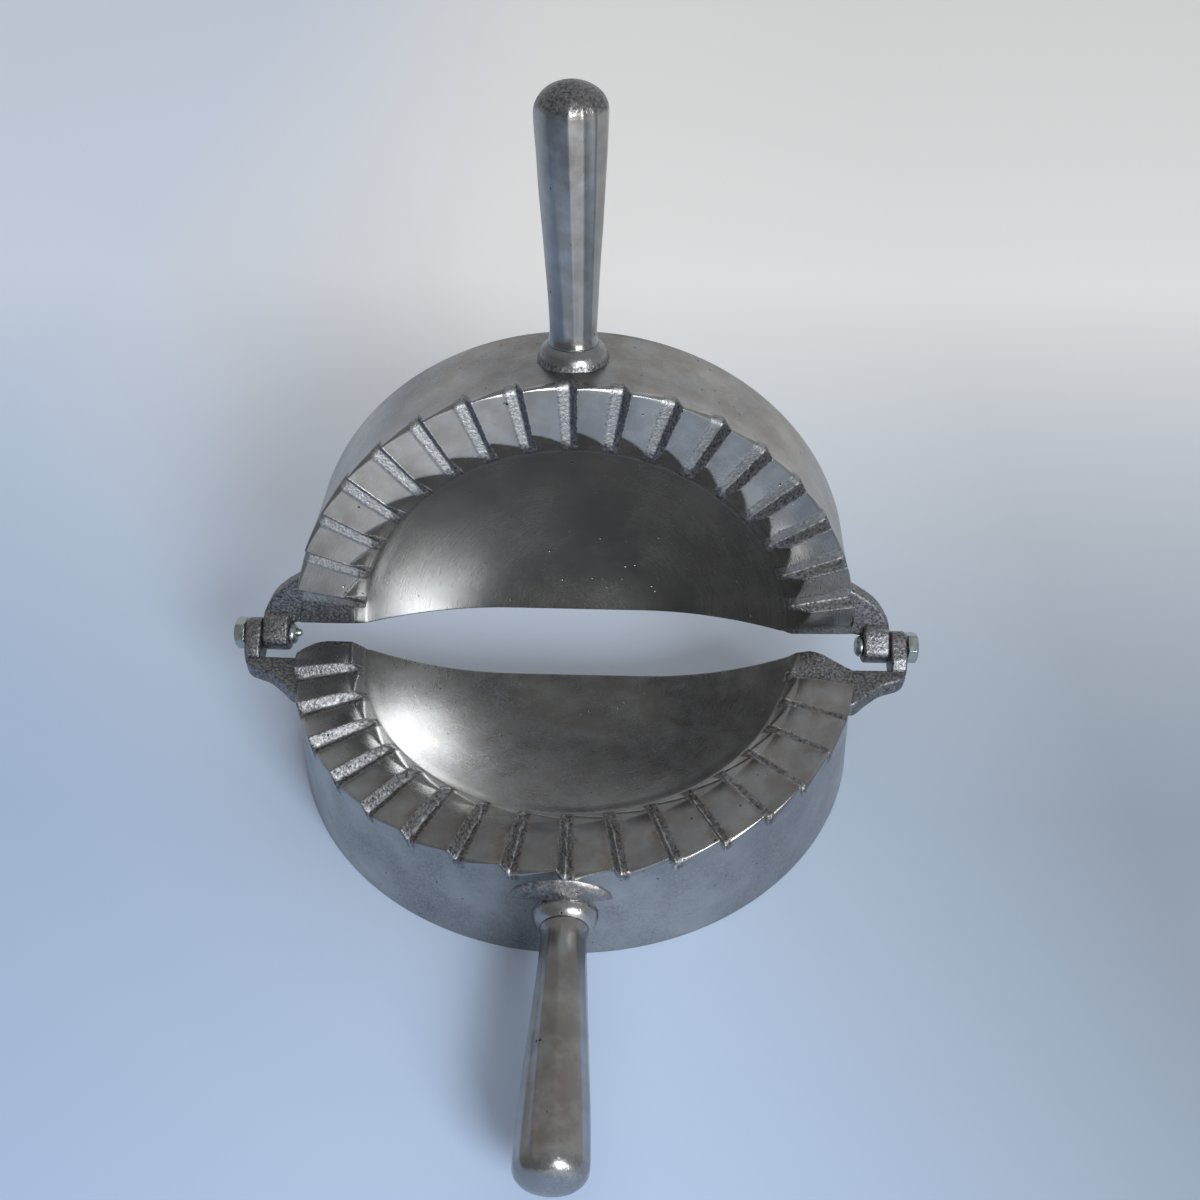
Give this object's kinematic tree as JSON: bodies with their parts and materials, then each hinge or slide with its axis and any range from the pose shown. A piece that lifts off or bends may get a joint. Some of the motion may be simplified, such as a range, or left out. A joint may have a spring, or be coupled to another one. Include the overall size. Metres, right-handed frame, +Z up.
{
  "type": "empanada press",
  "caption": "Hinged half-moon press with two dished jaws, meshing saw-tooth crimping rings, tall skirts and club handles, for folding and sealing filled pastry.",
  "frame": {"origin": "centre of the bounding box at floor level, with the lower jaw standing on its skirt rim and the upper jaw raised to 97 degrees", "axes": "+Z up; X along the hinge line; the lower jaw and its handle point to -Y"},
  "size_m": [0.2452, 0.2378, 0.2224],
  "materials": {
    "lower_cast_aluminium": "sand cast, polished bowl and brushed teeth",
    "upper_cast_aluminium": "sand cast, polished bowl and brushed teeth",
    "handle_aluminium": "ground and polished casting",
    "bolt_steel": "zinc plated"
  },
  "bodies": {
    "lower_half": {"lower_jaw": "lower_cast_aluminium", "lower_handle": "handle_aluminium"},
    "upper_half": {"upper_jaw": "upper_cast_aluminium", "upper_handle": "handle_aluminium", "left_hinge_bolt": "bolt_steel", "right_hinge_bolt": "bolt_steel"}
  },
  "joints": [
    {"name": "hinge", "type": "hinge", "parent": "lower_half", "child": "upper_half", "pos_m": [0, 0.06407, 0.041], "axis": [-1, 0, 0], "range_deg": [-97, 83]}
  ]
}
